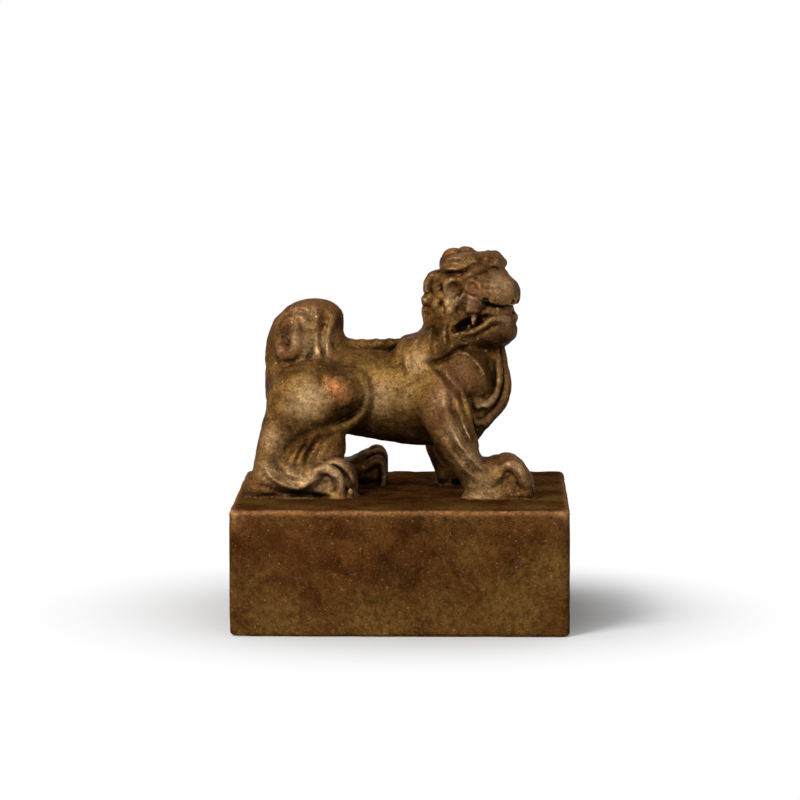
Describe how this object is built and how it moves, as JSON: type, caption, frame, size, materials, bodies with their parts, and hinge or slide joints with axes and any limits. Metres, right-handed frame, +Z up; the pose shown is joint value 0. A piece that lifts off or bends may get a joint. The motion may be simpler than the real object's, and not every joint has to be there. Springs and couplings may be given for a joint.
{
  "type": "seal stamp",
  "caption": "Small square cast bronze seal with a walking guardian lion as its knob; the underside is cut with a square spiral pattern for stamping.",
  "frame": {"origin": "centre of the seal's printing face, on the surface that the seal stands on", "axes": "+Z up through the lion, +X the way the lion walks, +Y to the lion's left; the picture looks along +Y at the lion's right side"},
  "size_m": [0.045, 0.045, 0.0502],
  "materials": {
    "block_bronze": "old cast bronze, dark reddish brown with olive tan patches, satin, worn copper-coloured along the edges",
    "lion_bronze": "old cast bronze, olive brown patina, satin, rubbed to a warm gold-brown on raised forms and near black in the hollows"
  },
  "bodies": {
    "root": {"seal_block": "block_bronze", "torso": "lion_bronze", "right_haunch": "lion_bronze", "right_knee_fold": "lion_bronze", "right_shank": "lion_bronze", "right_hind_paw": "lion_bronze", "right_foreleg": "lion_bronze", "right_foreleg_tuft": "lion_bronze", "right_fore_paw": "lion_bronze", "left_haunch": "lion_bronze", "left_knee_fold": "lion_bronze", "left_shank": "lion_bronze", "left_hind_paw": "lion_bronze", "left_foreleg": "lion_bronze", "left_foreleg_tuft": "lion_bronze", "left_fore_paw": "lion_bronze", "spine_ridge": "lion_bronze", "tail_brush": "lion_bronze", "tail_curl_right": "lion_bronze", "tail_curl_left": "lion_bronze", "neck": "lion_bronze", "breast": "lion_bronze", "breast_plate_right": "lion_bronze", "beard_lock_right_1": "lion_bronze", "beard_lock_right_2": "lion_bronze", "breast_plate_left": "lion_bronze", "beard_lock_left_1": "lion_bronze", "beard_lock_left_2": "lion_bronze", "skull": "lion_bronze", "hair": "lion_bronze", "muzzle": "lion_bronze", "teeth": "lion_bronze", "lower_jaw": "lion_bronze", "nose": "lion_bronze", "right_eye": "lion_bronze", "right_brow": "lion_bronze", "right_ear": "lion_bronze", "right_jowl": "lion_bronze", "forehead_curl_right": "lion_bronze", "nape_curl_right": "lion_bronze", "left_eye": "lion_bronze", "left_brow": "lion_bronze", "left_ear": "lion_bronze", "left_jowl": "lion_bronze", "forehead_curl_left": "lion_bronze", "nape_curl_left": "lion_bronze", "crown_curl": "lion_bronze", "nape_curl_middle": "lion_bronze", "nape_curl_low": "lion_bronze"}
  },
  "joints": []
}
